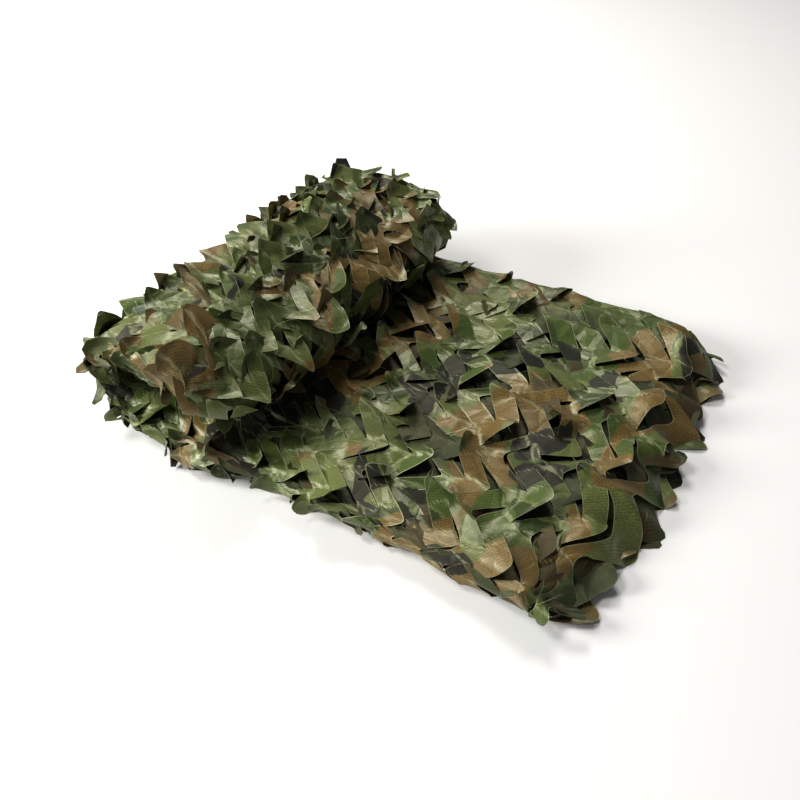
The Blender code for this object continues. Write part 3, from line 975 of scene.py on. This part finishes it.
# The cloth.  mottle and grain are values for the mottle's sockets.
look = {
    "mottle": (60.0, 4.0, 0.6, 0.3, 0.7, 0.22, (0.012, 0.012, 0.006)),
    "grain": (700.0, 2.0, 0.7, 0.40, 0.60, 0.52, (0.008, 0.009, 0.004)),
    "weave": {"Scale": 150.0, "Distortion": 1.2, "Detail": 1.0, "Detail Scale": 0.6},
    "weaveAmount": 0.36, "weaveColour": (0.008, 0.009, 0.004), "weaveHeight": 0.16,
    # Pale lines: along cut edges partly frayed fibre and partly a painted highlight, along creases a painted
    # highlight on the ridges.
    "edge": (0.0009, 0.0003), "edgeFrayAndHighlightAmount": 0.55, "crease": (0.0020, 0.0005), "creaseHighlightAmount": 0.34,
    "paleFrayAndHighlight": (0.46, 0.48, 0.28), "backAmount": 0.18, "backColour": (0.11, 0.125, 0.075),
    # shadeColour is the near black that the painted shade of the inner layers is mixed towards.
    "shadeColour": (0.002, 0.002, 0.001), "wrinkle": (90.0, 4.0, 0.6),
    "wrinkleBump": {"Strength": 0.35, "Distance": 0.0005},
    "bendScale": 40.0, "bendDetail": 1.0, "bend": (0.012, 0.012, 0.0), "crumpleScale": 34.0,
    "crumpleMost": 0.25,
    "crumpleBump": {"Strength": 0.6, "Distance": 0.0045},
    "roughness": 0.335, "roughMottle": 0.08, "roughBlack": 0.24, "roughShade": 0.36,
}


def camoMaterial():
    material, tree, shader = newMaterial("camoCloth")
    flat = addNode(tree, "UVMap", uv_map="flat").outputs["UV"]
    spots = addNode(tree, "Group", {"Vector": flat}, node_tree=camoPrint()).outputs
    mottled = addMottle(tree, flat, spots["Color"], look["mottle"])
    colour = addMottle(tree, flat, mottled["Color"], look["grain"])["Color"]
    values = {"Vector": flat, **look["weave"]}
    weave = addNode(tree, "TexWave", values, bands_direction="DIAGONAL").outputs["Fac"]
    weaveAmount = mathNode(tree, "MULTIPLY", weave, look["weaveAmount"])
    colour = mixColour(tree, weaveAmount, colour, look["weaveColour"])
    # Pale lines: cut edges are partly frayed fibre and partly a painted highlight; creases get a painted
    # highlight on their ridges.
    edge = ramp(tree, attribute(tree, "cutEdge"), *look["edge"])
    crease = ramp(tree, attribute(tree, "crease"), *look["crease"])
    edge = mathNode(tree, "MULTIPLY", edge, look["edgeFrayAndHighlightAmount"])
    crease = mathNode(tree, "MULTIPLY", crease, look["creaseHighlightAmount"])
    colour = mixColour(tree, mathNode(tree, "MAXIMUM", edge, crease), colour, look["paleFrayAndHighlight"])
    back = mixColour(tree, look["backAmount"], colour, look["backColour"])
    isBack = addNode(tree, "NewGeometry").outputs["Backfacing"]
    # Painted shade: inner layers are mixed towards near black by their shade attribute, and made rougher so
    # they don't glint.
    shade = attribute(tree, "shade")
    colour = mixColour(tree, shade, mixColour(tree, isBack, colour, back), look["shadeColour"])

    wrinkle = noise(tree, flat, *look["wrinkle"]).outputs["Fac"]
    height = mathNode(tree, "ADD", mathNode(tree, "MULTIPLY", weave, look["weaveHeight"]), wrinkle)
    fineBump = addNode(tree, "Bump", {"Height": height, **look["wrinkleBump"]})
    bend = noise(tree, flat, look["bendScale"], look["bendDetail"]).outputs["Color"]
    values = {"Vector": moveVector(tree, flat, bend, look["bend"]), "Scale": look["crumpleScale"]}
    crumple = addNode(tree, "TexVoronoi", values, feature="DISTANCE_TO_EDGE").outputs["Distance"]
    height = mathNode(tree, "MINIMUM", crumple, look["crumpleMost"])
    values = {"Height": height, "Normal": fineBump.outputs["Normal"], **look["crumpleBump"]}
    normal = addNode(tree, "Bump", values).outputs["Normal"]

    rough = mathNode(tree, "MULTIPLY", mottled["Mask"], look["roughMottle"])
    rough = mathNode(tree, "ADD", rough, look["roughness"])
    for mask, amount in ((spots["Black"], "roughBlack"), (shade, "roughShade")):
        rough = mathNode(tree, "ADD", mathNode(tree, "MULTIPLY", mask, look[amount]), rough)
    feedAll(tree, shader, {
        "Base Color": colour,
        "Normal": normal,
        "Roughness": rough,
        "Specular IOR Level": 0.5,
        "Specular Tint": (1.0, 0.98, 0.70),
        "Sheen Weight": 0.05,
        "Sheen Roughness": 0.4,
    })
    return material


camoCloth = camoMaterial()
for piece in (netCloth, *innerPieces):
    piece.data.materials.append(camoCloth)
    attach(piece, "root")
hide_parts("net")

# The fibres: pale, with darker stretches.
threadLook = {
    "colour": (0.42, 0.44, 0.27),
    "mottle": (25.0, 2.0, 0.5, 0.35, 0.65, 1.0, (0.22, 0.25, 0.13)),
    "roughness": 0.45,
}


def threadMaterial():
    material, tree, shader = newMaterial("paleThread")
    spot = addNode(tree, "TexCoord").outputs["Object"]
    colour = addMottle(tree, spot, threadLook["colour"], threadLook["mottle"])["Color"]
    feedAll(tree, shader, {"Base Color": colour, "Roughness": threadLook["roughness"]})
    return material


frayPiece.data.materials.append(threadMaterial())
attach(frayPiece, "root")
print("materials made", flush=True)

# The studio: a pale floor, soft square lights and a dim white world.
studio = {
    "halfFloor": 6.0, "floorColour": (0.94, 0.94, 0.94),
    "floorMottle": (6.0, 3.0, 0.5, 0.0, 1.0, 0.05, (0.86, 0.86, 0.86)),
    "floorRoughness": 0.7, "worldColour": (1.0, 1.0, 1.0), "worldStrength": 0.11,
}

lights = rowsOf({
    "columns": ("name", "place", "target", "side", "watts", "colour"),
    "rows": (
        ("keyLight", (-0.95, 1.35, 2.0), (0.0, 0.0, 0.05), 0.8, 38.0, (1.0, 0.98, 0.93)),
        ("topLight", (-0.85, -0.95, 2.2), (0.0, -0.1, 0.05), 0.7, 24.0, (1.0, 0.99, 0.95)),
        ("fillLight", (-1.9, -1.5, 1.25), (-0.1, -0.1, 0.05), 0.9, 78.0, (1.0, 0.99, 0.96)),
    ),
})


def addStage():
    half = studio["halfFloor"]
    corners = [(-half, -half, 0.0), (half, -half, 0.0), (half, half, 0.0), (-half, half, 0.0)]
    floor = addPiece("floor", corners, [(0, 1, 2, 3)])
    material, tree, shader = newMaterial("studioFloor")
    spot = addNode(tree, "TexCoord").outputs["Object"]
    colour = addMottle(tree, spot, studio["floorColour"], studio["floorMottle"])["Color"]
    feedAll(tree, shader, {"Base Color": colour, "Roughness": studio["floorRoughness"]})
    floor.data.materials.append(material)


def addLight(settings):
    data = bpy.data.lights.new(settings["name"], "AREA")
    data.shape = "RECTANGLE"
    data.size = settings["side"]
    data.size_y = settings["side"]
    data.energy = settings["watts"]
    data.color = settings["colour"]
    light = bpy.data.objects.new(settings["name"], data)
    light.location = settings["place"]
    light.rotation_euler = lookAt(settings["place"], settings["target"])
    bpy.context.scene.collection.objects.link(light)


def addWorld():
    world = bpy.data.worlds.new("studio")
    bpy.context.scene.world = world
    world.use_nodes = True
    values = {"Color": studio["worldColour"], "Strength": studio["worldStrength"]}
    feedAll(world.node_tree, world.node_tree.nodes["Background"], values)


bpy.context.scene.view_settings.view_transform = "Standard"
addStage()
for settings in lights:
    addLight(settings)
addWorld()
print("stage and lights set", flush=True)
